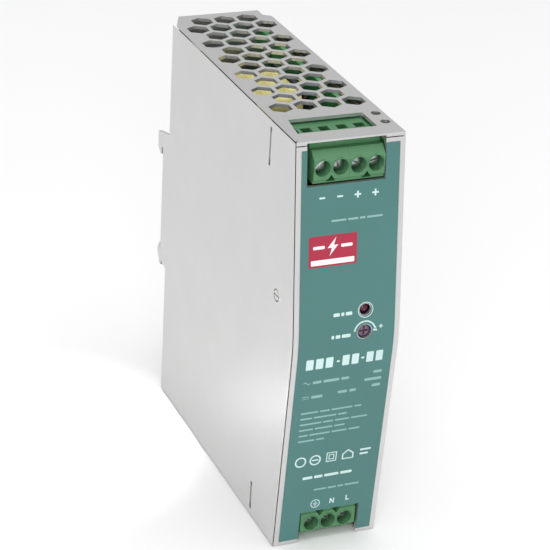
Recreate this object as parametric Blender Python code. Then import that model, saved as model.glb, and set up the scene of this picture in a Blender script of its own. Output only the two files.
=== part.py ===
"""A slim metal-cased power supply for a 35 mm top-hat rail, as an assembly of its separate pieces.

Frame: X is the width (+X to the right seen from the front), -Y is the front, +Y points at the rail,
+Z is up. The origin is the centre of the face that seats on the rail.
All dimensions below are in millimetres; MM turns them into Blender's metres.
"""

import math

import bmesh
import bpy
from mathutils import Matrix, Vector

MM = 0.001

# ---------------------------------------------------------------- driving dimensions

HALF = 16.0  # half the width of the case
TOP = 60.3
BOTTOM = -64.9
SHEET = 1.0  # thickness of the case metal
MITRE = 0.2  # set-back of each mitred edge, which leaves a seam of 0.28
GAP = 0.3  # clearance between neighbouring pieces
INNER = HALF - SHEET

# The front is two straight runs joined by a tangent arc.
APEX = Vector((-107.6, 2.0))  # (y, z) where the two runs would meet
FRONT_TOP_Y = -101.0
FRONT_BOTTOM_Y = -102.3
FRONT_RADIUS = 60.0
ARC_STEPS = 6

# The back: the side plates stop short of the rail plane except at their hook-shaped wings.
SIDE_BACK = -5.2
REAR_LEFT = -12.1
REAR_RIGHT = 13.7
SEAT_BOTTOM = -15.0  # below this the rear wall steps forward, behind the latch
REAR_JOGGLE = 0.3
REAR_LIP = 0.8  # how far the top and bottom sheets pass the rail plane

# The rail is 35 mm tall with lips 1 mm thick.
LIP_SLOT = 1.5  # depth of the slot that takes a lip
LIP_EDGE = 17.8
NOSE_EDGE = 15.3
LATCH_TRAVEL = 5.0

# Ventilation: a honeycomb of hexagons with a flat side to each neighbour in its row.
VENT_PITCH = 7.3
VENT_ROW_PITCH = 6.5
VENT_INRADIUS = 3.0
VENT_CENTRE_X = 0.6
VENT_FIRST_Y = -76.7
VENT_ROWS = 12

# Terminal blocks
POLE_PITCH = 5.2
OUTPUT_POLES = (-8.2, -3.0, 2.2, 7.4)
INPUT_POLES = (-4.35, 0.85, 6.05)
OUTPUT_FRONT = -102.2
INPUT_FRONT = -102.4
OUTPUT_BASE = 48.3  # z of the closed long side; the wires enter from the opposite side
INPUT_BASE = -54.8
OUTPUT_HEIGHT = 10.4
INPUT_HEIGHT = 9.3
BLOCK_DEPTH = 18.6
SHELF_HEIGHT = 8.8  # the low shelf behind the chamfer at the front of the block
SHELF_DEPTH = 4.2
SCREW_HEIGHT = 4.3  # screw axis above the closed side
CLAMP_TRAVEL = 2.5

# Circuit boards
BOARD = 1.6
MAIN_FACE = 11.0  # x of the main board's component side
COMPONENT_FACE = MAIN_FACE - GAP  # where the components stop, just off the board
TERMINAL_BOARD_SETBACK = BLOCK_DEPTH + GAP

# Indicator and trimmer, seen through the front
INDICATOR_X = 5.4
LED_Z = 11.0
TRIMMER_Z = 4.5


# ---------------------------------------------------------------- scene and materials

def clear_scene():
    for obj in list(bpy.data.objects):
        bpy.data.objects.remove(obj, do_unlink=True)


def material(name, colour, roughness, metallic=0.0):
    made = bpy.data.materials.new(name)
    made.use_nodes = True
    shader = made.node_tree.nodes["Principled BSDF"]
    shader.inputs["Base Color"].default_value = (*colour, 1.0)
    shader.inputs["Roughness"].default_value = roughness
    shader.inputs["Metallic"].default_value = metallic
    return made


# ---------------------------------------------------------------- mesh helpers
# A shape is a bmesh in metres. The helpers take millimetres.

def on_axis(axis, along, first, second):
    """The 3-D point for a height along an axis and two coordinates across it, in X, Y, Z order."""
    return {
        "X": (along, first, second),
        "Y": (first, along, second),
        "Z": (first, second, along),
    }[axis]


def loft(loop_a, loop_b):
    """A closed solid between two loops with the same number of points."""
    shape = bmesh.new()
    ends = [[shape.verts.new(Vector(p) * MM) for p in loop] for loop in (loop_a, loop_b)]
    count = len(loop_a)
    for i in range(count):
        j = (i + 1) % count
        shape.faces.new((ends[0][i], ends[0][j], ends[1][j], ends[1][i]))
    for end in ends:
        shape.faces.new(end)
    bmesh.ops.recalc_face_normals(shape, faces=shape.faces)
    return shape


def prism(axis, outline, low, high):
    """An outline across an axis, extruded along it."""
    return loft(
        [on_axis(axis, low, *p) for p in outline],
        [on_axis(axis, high, *p) for p in outline],
    )


def box(x, y, z):
    """A block from three (low, high) pairs."""
    outline = [(x[0], y[0]), (x[1], y[0]), (x[1], y[1]), (x[0], y[1])]
    return prism("Z", outline, *z)


def circle(centre, radius, sides):
    return [
        (
            centre[0] + radius * math.cos(2 * math.pi * (i + 0.5) / sides),
            centre[1] + radius * math.sin(2 * math.pi * (i + 0.5) / sides),
        )
        for i in range(sides)
    ]


def rod(axis, centre, radius, low, high, sides=16):
    return prism(axis, circle(centre, radius, sides), low, high)


def turned(axis, centre, profile, sides=20):
    """A solid of revolution from (height, radius) pairs, first to last along the axis."""
    shape = bmesh.new()
    rings = []
    for height, radius in profile:
        points = circle(centre, radius, sides)
        rings.append([shape.verts.new(Vector(on_axis(axis, height, *p)) * MM) for p in points])
    for lower, upper in zip(rings, rings[1:]):
        for i in range(sides):
            j = (i + 1) % sides
            shape.faces.new((lower[i], lower[j], upper[j], upper[i]))
    shape.faces.new(rings[0])
    shape.faces.new(rings[-1])
    bmesh.ops.recalc_face_normals(shape, faces=shape.faces)
    return shape


def rounded_rectangle(low, high, radius, steps=3):
    """Outline of a rectangle with round corners, given two opposite corners."""
    corners = (
        (high[0] - radius, high[1] - radius, 0),
        (low[0] + radius, high[1] - radius, 1),
        (low[0] + radius, low[1] + radius, 2),
        (high[0] - radius, low[1] + radius, 3),
    )
    points = []
    for cx, cy, quarter in corners:
        for i in range(steps + 1):
            angle = math.pi / 2 * (quarter + i / steps)
            points.append((cx + radius * math.cos(angle), cy + radius * math.sin(angle)))
    return points


def joined(*shapes):
    """Several separate shapes in one bmesh."""
    whole = bmesh.new()
    for shape in shapes:
        mesh = bpy.data.meshes.new("joined")
        shape.to_mesh(mesh)
        shape.free()
        whole.from_mesh(mesh)
        bpy.data.meshes.remove(mesh)
    return whole


def add_object(name, shape, finish=None):
    mesh = bpy.data.meshes.new(name)
    shape.to_mesh(mesh)
    shape.free()
    obj = bpy.data.objects.new(name, mesh)
    if finish:
        mesh.materials.append(finish)
    bpy.context.scene.collection.objects.link(obj)
    return obj


def combine(obj, operation, shape):
    """Joins a shape to an object, or cuts it away, and keeps the result as the object's mesh."""
    tool = add_object("tool", shape)
    modifier = obj.modifiers.new("combine", "BOOLEAN")
    modifier.operation = operation
    modifier.solver = "EXACT"
    modifier.object = tool
    graph = bpy.context.evaluated_depsgraph_get()
    result = bpy.data.meshes.new_from_object(obj.evaluated_get(graph))
    obj.modifiers.clear()
    previous = obj.data
    obj.data = result
    result.name = obj.name
    bpy.data.meshes.remove(previous)
    spent = tool.data
    bpy.data.objects.remove(tool, do_unlink=True)
    bpy.data.meshes.remove(spent)


def piece(name, finish, base, add=(), cut=(), add_last=(), origin=None, smooth=False):
    """One sub-part: a base shape with others joined on, cut away, and joined on inside the cuts."""
    obj = add_object(name, base, finish)
    for shape in add:
        combine(obj, "UNION", shape)
    for shape in cut:
        combine(obj, "DIFFERENCE", shape)
    for shape in add_last:
        combine(obj, "UNION", shape)
    if origin:
        point = Vector(origin) * MM
        obj.data.transform(Matrix.Translation(-point))
        obj.location = point
    if smooth:
        obj.data.shade_smooth()
        obj.data.set_sharp_from_angle(angle=math.radians(35))
    return obj


# ---------------------------------------------------------------- the case outline

def front_curve(depth, z_high, z_low):
    """Points (y, z) down the front, this far behind its outer face."""
    upper = (Vector((FRONT_TOP_Y, TOP)) - APEX).normalized()
    lower = (Vector((FRONT_BOTTOM_Y, BOTTOM)) - APEX).normalized()
    upper_angle = math.atan2(upper.x, upper.y)
    lower_angle = -math.atan2(lower.x, -lower.y)
    middle = (upper_angle + lower_angle) / 2
    half = (upper_angle - lower_angle) / 2
    reach = FRONT_RADIUS / math.cos(half)
    centre = APEX + Vector((math.cos(middle), -math.sin(middle))) * reach
    radius = FRONT_RADIUS - depth
    arc = []
    for i in range(ARC_STEPS + 1):
        angle = upper_angle + (lower_angle - upper_angle) * i / ARC_STEPS
        arc.append(centre + Vector((-math.cos(angle), math.sin(angle))) * radius)

    def on_run(z):
        """The point at this height on the straight run above or below the arc."""
        start, along = (arc[0], upper) if z > arc[0].y else (arc[-1], lower)
        return Vector((start.x + (z - start.y) * along.x / along.y, z))

    between = [p for p in arc if z_low < p.y < z_high]
    return [tuple(p) for p in (on_run(z_high), *between, on_run(z_low))]


def side_outline(front_depth, edge_inset):
    """A side plate's outline (y, z): curved front, straight back, and the wing that hooks on the rail."""
    wing = [
        (SIDE_BACK, -21.6),
        (0.0, -20.3),
        (0.0, LIP_EDGE),
        (LIP_SLOT, LIP_EDGE),
        (LIP_SLOT, NOSE_EDGE),
        (2.4, NOSE_EDGE),
        (4.6, 17.2),
        (4.6, 22.0),
        (SIDE_BACK, 24.3),
    ]
    front = front_curve(front_depth, TOP - edge_inset, BOTTOM + edge_inset)
    return [
        *front,
        (SIDE_BACK, BOTTOM + edge_inset),
        *wing,
        (SIDE_BACK, TOP - edge_inset),
    ]


def front_slab(near, far, z_high, z_low, x_left, x_right):
    """A curved sheet that follows the front between two depths. x_left gives the left edge of each."""
    outer = front_curve(near, z_high, z_low)
    inner = front_curve(far, z_high, z_low)
    shape = bmesh.new()
    sections = []
    for front, back in zip(outer, inner):
        corners = ((x_left[0], *front), (x_right, *front), (x_right, *back), (x_left[1], *back))
        sections.append([shape.verts.new(Vector(p) * MM) for p in corners])
    for above, below in zip(sections, sections[1:]):
        for k in range(4):
            j = (k + 1) % 4
            shape.faces.new((above[k], above[j], below[j], below[k]))
    shape.faces.new(sections[0])
    shape.faces.new(sections[-1])
    bmesh.ops.recalc_face_normals(shape, faces=shape.faces)
    return shape


def case_sheet(outer_z, inner_z):
    """The top or bottom sheet, mitred on the left where the side cover meets it."""
    loops = []
    for z, inset in ((outer_z, 0.0), (inner_z, SHEET)):
        left = -HALF + MITRE + inset
        loops.append(
            [
                (left, FRONT_TOP_Y + SHEET + GAP, z),
                (HALF, FRONT_TOP_Y + SHEET + GAP, z),
                (HALF, SIDE_BACK, z),
                (REAR_RIGHT, SIDE_BACK + 1.6, z),
                (REAR_RIGHT, REAR_LIP, z),
                (REAR_LEFT, REAR_LIP, z),
                (max(left, -15.5), -7.1, z),
                (left, -7.9, z),
            ]
        )
    return loft(*loops)


def vents(z_low, z_high, first_row, last_row):
    """The honeycomb's hexagonal prisms: rows of four and three in turn."""
    holes = []
    corner = VENT_INRADIUS / math.cos(math.pi / 6)
    for row in range(first_row, last_row):
        count = 4 if row % 2 == 0 else 3
        y = VENT_FIRST_Y + VENT_ROW_PITCH * row
        for i in range(count):
            x = VENT_CENTRE_X + VENT_PITCH * (i - (count - 1) / 2)
            outline = [
                (x + corner * math.sin(math.pi * k / 3), y + corner * math.cos(math.pi * k / 3))
                for k in range(6)
            ]
            holes.append(prism("Z", outline, z_low, z_high))
    return joined(*holes)


# ---------------------------------------------------------------- the case

UPPER_OPENING_X = (-12.7, 10.3)
UPPER_OPENING_Z = 47.8
LOWER_OPENING_X = (-8.4, 10.0)
LOWER_OPENING_Z = -54.4
FRONT_TOP_EDGE = TOP - SHEET - GAP
EDGE_RELIEF = 0.5  # the top sheet is thinned to this over the front opening
LED_HOLE = 1.7
TRIMMER_HOLE = 2.1


def front_cuts(margin):
    """Cutters for the openings in the front panel and, a little larger, in its label."""
    y = (-112.0, -98.0)
    upper_x = (UPPER_OPENING_X[0] - margin, UPPER_OPENING_X[1] + margin)
    lower_x = (LOWER_OPENING_X[0] - margin, LOWER_OPENING_X[1] + margin)
    return [
        box(upper_x, y, (UPPER_OPENING_Z - margin, TOP + 1)),
        box(lower_x, y, (BOTTOM - 1, LOWER_OPENING_Z + margin)),
        rod("Y", (INDICATOR_X, LED_Z), LED_HOLE + margin, *y, sides=20),
        rod("Y", (INDICATOR_X, TRIMMER_Z), TRIMMER_HOLE + margin, *y, sides=20),
    ]


def slanted_return():
    """The folded edge of the rear wall that slopes forward to the left side."""
    outline = [(REAR_LEFT, 0.0), (-14.7, -6.9), (-13.76, -7.25), (REAR_LEFT + 0.94, -0.35)]
    return prism("Z", outline, BOTTOM + SHEET / 2, TOP - SHEET / 2)


SPRING_X = 0.8
LUG_Z = -38.0
LUG_THICKNESS = 1.0
LATCH_SCREW_Z = -50.0
LATCH_SCREW_X = (SPRING_X - 6.5, SPRING_X + 6.5)


def make_chassis(steel):
    """One folded sheet: right side, top, bottom and rear wall, with the spring's lug."""
    lip = front_slab(0.0, SHEET, TOP, TOP - SHEET, (-HALF + MITRE, -INNER + MITRE), HALF)
    bridge = box((-INNER + MITRE, HALF), (-100.6, -99.0), (TOP - SHEET, TOP))
    right = prism("X", side_outline(SHEET + GAP, 0.0), INNER, HALF)
    rear_x = (REAR_LEFT, REAR_RIGHT)
    rear_seat = box(rear_x, (-SHEET, 0.0), (SEAT_BOTTOM, TOP - 0.2))
    rear_lower = box(rear_x, (-SHEET - REAR_JOGGLE, -REAR_JOGGLE), (BOTTOM + 0.2, SEAT_BOTTOM + 1.0))
    right_fold = box((REAR_RIGHT - SHEET, REAR_RIGHT), (-5.0, -0.5), (BOTTOM + 0.2, TOP - 0.2))
    right_step = box((REAR_RIGHT - SHEET, HALF - 0.2), (-5.1, -4.1), (BOTTOM + 0.2, TOP - 0.2))
    lug_top = LUG_Z + LUG_THICKNESS
    lug = box((SPRING_X - 1.5, SPRING_X + 1.5), (-0.5, 3.2), (LUG_Z, lug_top))
    peg = rod("Z", (SPRING_X, 1.8), 0.6, LUG_Z + 0.5, lug_top + 1.6, sides=8)
    window = prism(
        "Z", [(-11.8, -85.3), (10.2, -85.3), (10.1, -95.4), (-13.0, -95.1)], TOP - 2, TOP + 1
    )
    edge_relief = box(UPPER_OPENING_X, (-102.0, -99.2), (TOP - 2, TOP - EDGE_RELIEF))
    wire_window = box(LOWER_OPENING_X, (-104.0, -83.4), (BOTTOM - 1, BOTTOM + 2))
    small_holes = joined(
        rod("Z", (13.6, -86.8), 1.4, TOP - 2, TOP + 1, sides=14),
        rod("Z", (13.6, -93.0), 1.4, TOP - 2, TOP + 1, sides=14),
    )
    screw_holes = joined(
        *(rod("Y", (x, LATCH_SCREW_Z), 1.2, -2.0, 1.0, sides=12) for x in LATCH_SCREW_X)
    )
    return piece(
        "chassis",
        steel,
        case_sheet(TOP, TOP - SHEET),
        add=[
            bridge,
            lip,
            right,
            case_sheet(BOTTOM, BOTTOM + SHEET),
            rear_seat,
            rear_lower,
            slanted_return(),
            right_fold,
            right_step,
            lug,
            peg,
        ],
        cut=[
            vents(TOP - 2, TOP + 1, 0, VENT_ROWS),
            vents(BOTTOM - 1, BOTTOM + 2, 2, VENT_ROWS - 2),
            window,
            edge_relief,
            wire_window,
            small_holes,
            screw_holes,
        ],
    )


TAB_SLOT_Y = (-84.8, -83.6)
UPPER_SLOT_Z = (47.0, 58.2)
LOWER_SLOT_Z = (-62.9, -53.7)
COVER_SCREW = (-94.2, 12.3)  # (y, z)


def make_side_cover(steel):
    """The left side plate, with its edges mitred to the sheets around it."""
    outer = [(-HALF, *p) for p in side_outline(MITRE, MITRE)]
    inner = [(-INNER, *p) for p in side_outline(MITRE + SHEET, MITRE + SHEET)]
    slots = joined(
        box((-HALF - 1, -INNER + 1), TAB_SLOT_Y, UPPER_SLOT_Z),
        box((-HALF - 1, -INNER + 1), TAB_SLOT_Y, LOWER_SLOT_Z),
        rod("X", COVER_SCREW, 1.9, -HALF - 1, -INNER + 1, sides=16),
    )
    return piece("side_cover", steel, loft(outer, inner), cut=[slots])


def front_tab(root, z):
    """A tab of the front panel that runs back inside the side cover, with a hook for its slot."""
    arm = box((-14.7, -13.7), (root, -83.8), z)
    hook = box((-15.7, -14.0), (-84.6, -83.8), (z[0] + 1.2, z[1] - 1.2))
    return arm, hook


def make_front_panel(steel):
    slab = front_slab(
        0.0, SHEET, FRONT_TOP_EDGE, BOTTOM, (-HALF + MITRE, -INNER + MITRE), HALF
    )
    upper_arm, upper_hook = front_tab(-101.1, (UPPER_SLOT_Z[0] + 0.4, UPPER_SLOT_Z[1] - 0.4))
    lower_arm, lower_hook = front_tab(-102.1, (LOWER_SLOT_Z[0] + 0.4, LOWER_SLOT_Z[1] - 0.4))
    screw_ear = box((-14.7, -13.5), (-105.4, -90.8), (COVER_SCREW[1] - 5, COVER_SCREW[1] + 5))
    ear_hole = rod("X", COVER_SCREW, 1.2, -15.0, -13.0, sides=12)
    return piece(
        "front_panel",
        steel,
        slab,
        add=[upper_arm, upper_hook, lower_arm, lower_hook, screw_ear],
        cut=[*front_cuts(0.0), ear_hole],
    )


LABEL_THICKNESS = 0.2
LABEL_GAP = 0.05


def make_front_label(film):
    slab = front_slab(
        -LABEL_GAP - LABEL_THICKNESS, -LABEL_GAP, 57.8, -63.6, (-14.2, -14.2), 14.4
    )
    return piece("front_label", film, slab, cut=front_cuts(0.2))


def make_cover_screw(zinc):
    profile = [(-15.95, 1.6), (-15.3, 1.6), (-14.9, 1.0), (-12.4, 1.0)]
    slot = box((-16.2, -15.6), (COVER_SCREW[0] - 2, COVER_SCREW[0] + 2),
               (COVER_SCREW[1] - 0.25, COVER_SCREW[1] + 0.25))
    return piece("cover_screw", zinc, turned("X", COVER_SCREW, profile, 16), cut=[slot])


# ---------------------------------------------------------------- the rail latch

LATCH_Y = (0.3, 1.8)
LATCH_STEM_X = (SPRING_X - 10.0, SPRING_X + 10.0)
LATCH_LOW = -58.5
WINDOW_TOP = -25.0


def make_rail_latch(zinc):
    """A T-shaped slide: the wide head catches the rail's lower lip, the stem ends in a pull tab."""
    head = prism(
        "X",
        [
            (LATCH_Y[0], -22.6),
            (LATCH_Y[1], -22.6),
            (LATCH_Y[1], -21.9),
            (3.7, -19.0),
            (3.7, -17.6),
            (LIP_SLOT + 0.6, -NOSE_EDGE),
            (LIP_SLOT, -NOSE_EDGE),
            (LIP_SLOT, -LIP_EDGE),
            (LATCH_Y[0], -LIP_EDGE),
        ],
        -INNER - 0.6,
        INNER + 0.6,
    )
    stem = box(LATCH_STEM_X, LATCH_Y, (LATCH_LOW, -22.0))
    foot = box((SPRING_X - 6.0, SPRING_X + 6.0), (LATCH_Y[0], 3.6), (LATCH_LOW, LATCH_LOW + 1.4))
    window = box(
        (SPRING_X - 2.0, SPRING_X + 2.0), (-1.0, 4.0), (LUG_Z - GAP, WINDOW_TOP)
    )
    peg = box(
        (SPRING_X - 0.5, SPRING_X + 0.5), (1.3, LATCH_Y[1] + 0.4), (WINDOW_TOP - 1.6, WINDOW_TOP + 0.5)
    )
    slots = [
        prism(
            "Y",
            rounded_rectangle(
                (x - 1.7, LATCH_SCREW_Z - 1.7), (x + 1.7, LATCH_SCREW_Z + LATCH_TRAVEL + 1.7), 1.69
            ),
            -1.0,
            4.0,
        )
        for x in LATCH_SCREW_X
    ]
    driver_slot = box((SPRING_X - 3.0, SPRING_X + 3.0), (-1.0, 4.0), (-56.0, -54.5))
    piece(
        "rail_latch",
        zinc,
        head,
        add=[stem, foot],
        cut=[window, joined(*slots), driver_slot],
        add_last=[peg],
        origin=(SPRING_X, LATCH_Y[0], -LIP_EDGE),
    )


def make_latch_screws(zinc):
    """Two shoulder screws in the rear wall that carry the latch in its slots."""
    for side, x in zip(("left", "right"), LATCH_SCREW_X):
        centre = (x, LATCH_SCREW_Z)
        profile = [(-3.0, 1.0), (0.2, 1.0), (0.2, 1.35), (2.1, 1.35), (2.1, 2.7), (3.0, 2.7), (3.4, 2.2)]
        slot = box((x - 3, x + 3), (2.8, 4.0), (LATCH_SCREW_Z - 0.3, LATCH_SCREW_Z + 0.3))
        piece(f"latch_screw_{side}", zinc, turned("Y", centre, profile, 16), cut=[slot])


def make_latch_spring(steel):
    """A helical compression spring between the lug and the upper edge of the latch's window."""
    wire, coil, turns = 0.2, 1.1, 7
    low = LUG_Z + LUG_THICKNESS + wire + 0.1
    high = WINDOW_TOP - wire - 0.1
    steps, sides = 10, 5
    shape = bmesh.new()
    rings = []
    for i in range(turns * steps + 1):
        part = i / (turns * steps)
        angle = 2 * math.pi * turns * part
        outward = Vector((math.cos(angle), math.sin(angle), 0.0))
        centre = Vector((SPRING_X, 1.8, low + (high - low) * part)) + outward * coil
        ring = []
        for k in range(sides):
            turn = 2 * math.pi * k / sides
            offset = outward * math.cos(turn) + Vector((0, 0, 1)) * math.sin(turn)
            ring.append(shape.verts.new((centre + offset * wire) * MM))
        rings.append(ring)
    for first, second in zip(rings, rings[1:]):
        for k in range(sides):
            j = (k + 1) % sides
            shape.faces.new((first[k], first[j], second[j], second[k]))
    shape.faces.new(rings[0])
    shape.faces.new(rings[-1])
    bmesh.ops.recalc_face_normals(shape, faces=shape.faces)
    return piece("latch_spring", steel, shape, smooth=True)


# ---------------------------------------------------------------- terminal blocks
# Along the depth of a block, measured back from its front face:

HEAD = (2.2, 3.6)
HEAD_SEAT = 3.8
HEAD_RADIUS = 1.85
HEAD_HOLE = 2.25
CAVITY = (6.2, 17.3)
NUT = (9.3, 11.3)  # the clamp's threaded wall, with the clamp open
BAR = (11.8, 12.5)  # the fixed contact bar
CLAMP_WALL = (15.5, 16.7)  # the clamp's rear wall, which presses the wire on the bar
SCREW_TIP = 11.6
WIRE = (12.3, 15.7)
# Across a block, measured from its closed side towards the wire entries:
CLAMP_SPAN = (1.9, 6.7)
LEG = (1.0, 1.7)


class Block:
    """One terminal block: where it is and which way its wires enter."""

    def __init__(self, front, base, side, height):
        self.front = front
        self.base = base
        self.side = side
        self.height = height

    def y(self, span):
        return tuple(self.front + d for d in span)

    def z(self, span):
        return tuple(sorted(self.base + self.side * h for h in span))

    def screw_z(self):
        return self.base + self.side * SCREW_HEIGHT


def make_block(name, finish, block, poles, end_wall):
    outline = [
        (block.front, block.base),
        (block.front, block.base + block.side * 6.5),
        (block.front + 2.4, block.base + block.side * SHELF_HEIGHT),
        (block.front + SHELF_DEPTH, block.base + block.side * SHELF_HEIGHT),
        (block.front + SHELF_DEPTH, block.base + block.side * block.height),
        (block.front + BLOCK_DEPTH, block.base + block.side * block.height),
        (block.front + BLOCK_DEPTH, block.base),
    ]
    reach = POLE_PITCH / 2 + end_wall
    body = prism("X", outline, poles[0] - reach, poles[-1] + reach)
    heads, shanks, cavities, entries, bars, legs = [], [], [], [], [], []
    for x in poles:
        centre = (x, block.screw_z())
        heads.append(rod("Y", centre, HEAD_HOLE, *block.y((-1.0, HEAD_SEAT)), sides=20))
        shanks.append(rod("Y", centre, 1.7, *block.y((HEAD_SEAT - 0.5, CAVITY[0] + 0.5)), sides=12))
        cavities.append(box((x - 2.3, x + 2.3), block.y(CAVITY), block.z((1.7, 6.9))))
        entries.append(box((x - 1.7, x + 1.7), block.y(WIRE), block.z((6.5, block.height + 1))))
        bars.append(box((x - 1.4, x + 1.4), block.y((BAR[0] - 0.2, BAR[1] + 0.2)), block.z((0.8, 7.6))))
        legs.append(box((x - 0.9, x + 0.9), block.y((BAR[0], BLOCK_DEPTH + 1)), block.z((0.8, 2.0))))
    cuts = [joined(*group) for group in (cavities, heads, shanks, entries, bars, legs)]
    return piece(name, finish, body, cut=cuts)


def make_pole(number, block, x, slot_angle, zinc, brass):
    """The working parts of one pole: screw, rising clamp and fixed contact bar."""
    z = block.screw_z()
    centre = (x, z)
    front = block.front
    profile = [
        (front + HEAD[0], HEAD_RADIUS - 0.2),
        (front + HEAD[0] + 0.25, HEAD_RADIUS),
        (front + HEAD[1], HEAD_RADIUS),
        (front + HEAD[1], 1.35),
        (front + SCREW_TIP, 1.35),
    ]
    slot = box((-3.0, 3.0), (front, front + HEAD[0] + 0.8), (-0.3, 0.3))
    slot.transform(Matrix.Rotation(math.radians(slot_angle), 4, "Y"))
    slot.transform(Matrix.Translation(Vector((x, 0, z)) * MM))
    piece(
        f"terminal_screw_{number}",
        zinc,
        turned("Y", centre, profile, 16),
        cut=[slot],
        origin=(x, front + HEAD[0], z),
    )
    frame = box((x - 2.1, x + 2.1), block.y((NUT[0], CLAMP_WALL[1])), block.z(CLAMP_SPAN))
    window = box((x - 1.45, x + 1.45), block.y((NUT[1], CLAMP_WALL[0])), block.z((0.0, 9.0)))
    thread = rod("Y", centre, 1.55, front + NUT[0] - 1, front + NUT[1] + 0.5, sides=12)
    piece(
        f"wire_clamp_{number}",
        zinc,
        frame,
        cut=[window, thread],
        origin=(x, front + NUT[0], z),
    )
    plate = box((x - 1.2, x + 1.2), block.y(BAR), block.z((LEG[0], 7.4)))
    leg = box((x - 0.6, x + 0.6), block.y((BAR[0] + 0.2, TERMINAL_BOARD_SETBACK + BOARD + 0.9)),
              block.z(LEG))
    piece(f"contact_bar_{number}", brass, plate, add=[leg])


def make_terminal_board(name, finish, block, poles, z_span):
    y = block.y((TERMINAL_BOARD_SETBACK, TERMINAL_BOARD_SETBACK + BOARD))
    holes = [
        box((x - 0.9, x + 0.9), (y[0] - 1, y[1] + 1), block.z((LEG[0] - 0.3, LEG[1] + 0.3)))
        for x in poles
    ]
    board = box((-12.8, COMPONENT_FACE), y, z_span)
    return piece(name, finish, board, cut=[joined(*holes)])


# ---------------------------------------------------------------- trimmer and indicator

def make_trimmer(blue, white):
    centre = (INDICATOR_X, TRIMMER_Z)
    body = box((2.4, COMPONENT_FACE), (-105.4, -95.5), (TRIMMER_Z - 3.3, TRIMMER_Z + 3.3))
    recess = rod("Y", centre, 2.0, -107.0, -103.6, sides=18)
    piece("trimmer_body", blue, body, cut=[recess])
    rotor = turned("Y", centre, [(-106.6, 1.6), (-106.4, 1.75), (-103.9, 1.75)], 18)
    cross = [
        box((INDICATOR_X - 1.4, INDICATOR_X + 1.4), (-107.5, -105.8), (TRIMMER_Z - 0.3, TRIMMER_Z + 0.3)),
        box((INDICATOR_X - 0.3, INDICATOR_X + 0.3), (-107.5, -105.8), (TRIMMER_Z - 1.4, TRIMMER_Z + 1.4)),
    ]
    piece("trimmer_rotor", white, rotor, cut=cross, origin=(INDICATOR_X, -106.6, TRIMMER_Z))


def make_status_led(red):
    centre = (INDICATOR_X, LED_Z)
    lens = [(-98.6, 1.9), (-99.6, 1.9), (-99.6, 1.5), (-105.9, 1.5), (-106.6, 1.15), (-106.95, 0.5)]
    holder = box((3.6, COMPONENT_FACE), (-98.9, -95.8), (LED_Z - 2.0, LED_Z + 2.0))
    piece("status_led", red, turned("Y", centre, lens[::-1], 18), add=[holder], smooth=True)


# ---------------------------------------------------------------- boards and components

TRANSFORMER_Y = -44.0
TRANSFORMER_Z = 42.0


def core_half(plate_x, leg_x):
    """Shapes of an E-shaped ferrite half: a back plate with two outer legs and a centre leg."""
    z = (TRANSFORMER_Z - 6.7, TRANSFORMER_Z + 6.7)
    y = TRANSFORMER_Y
    legs = [
        box(leg_x, (y - 18.5, y - 13.9), z),
        box(leg_x, (y + 13.9, y + 18.5), z),
        box(leg_x, (y - 4.0, y + 4.0), z),
    ]
    return box(plate_x, (y - 18.5, y + 18.5), z), legs


def make_transformer(ferrite, plastic, tape):
    y, z = TRANSFORMER_Y, TRANSFORMER_Z
    plate, legs = core_half((-14.3, -10.8), (-11.2, -1.9))
    piece("transformer_core_left", ferrite, plate, add=[joined(*legs)])
    plate, legs = core_half((7.2, COMPONENT_FACE), (-1.6, 7.6))
    piece("transformer_core_right", ferrite, plate, add=[joined(*legs)])
    tube = box((-10.2, 6.6), (y - 5.6, y + 5.6), (z - 8.3, z + 8.3))
    flanges = [
        box((-10.5, -9.3), (y - 13.5, y + 13.5), (z - 13.5, z + 13.5)),
        box((5.7, 6.9), (y - 13.5, y + 13.5), (z - 13.5, z + 13.5)),
    ]
    bore = box((-12.0, 9.0), (y - 4.3, y + 4.3), (z - 7.0, z + 7.0))
    piece("transformer_bobbin", plastic, tube, add=flanges, cut=[bore])
    outline = rounded_rectangle((y - 13.0, z - 13.0), (y + 13.0, z + 13.0), 4.0)
    core_space = box((-12.0, 9.0), (y - 5.9, y + 5.9), (z - 8.6, z + 8.6))
    piece("transformer_winding", tape, prism("X", outline, -9.0, 5.4), cut=[core_space])


def make_capacitors(sleeve, dark_sleeve):
    """Aluminium electrolytic capacitors: a large one on the input side, two on the output side."""
    reach = 10.5
    x = COMPONENT_FACE - reach
    low, high = -34.0, 4.0
    profile = [
        (low, reach - 0.8), (low + 0.5, reach), (low + 2.4, reach), (low + 3.2, reach - 0.7),
        (low + 4.0, reach), (high - 0.5, reach), (high, reach - 0.8),
    ]
    piece("bulk_capacitor", dark_sleeve, turned("Z", (x, -40.0), profile, 24))
    reach = 5.0
    low, high = -9.3, COMPONENT_FACE
    profile = [
        (low, reach - 0.5), (low + 0.4, reach), (high - 2.6, reach), (high - 2.0, reach - 0.5),
        (high - 1.4, reach), (high, reach),
    ]
    for side, z in (("upper", 51.5), ("lower", 40.5)):
        piece(f"output_capacitor_{side}", sleeve, turned("X", (-73.0, z), profile, 20))


CHOKE = (-48.0, -49.0)  # (y, z) of the input choke's centre


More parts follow.
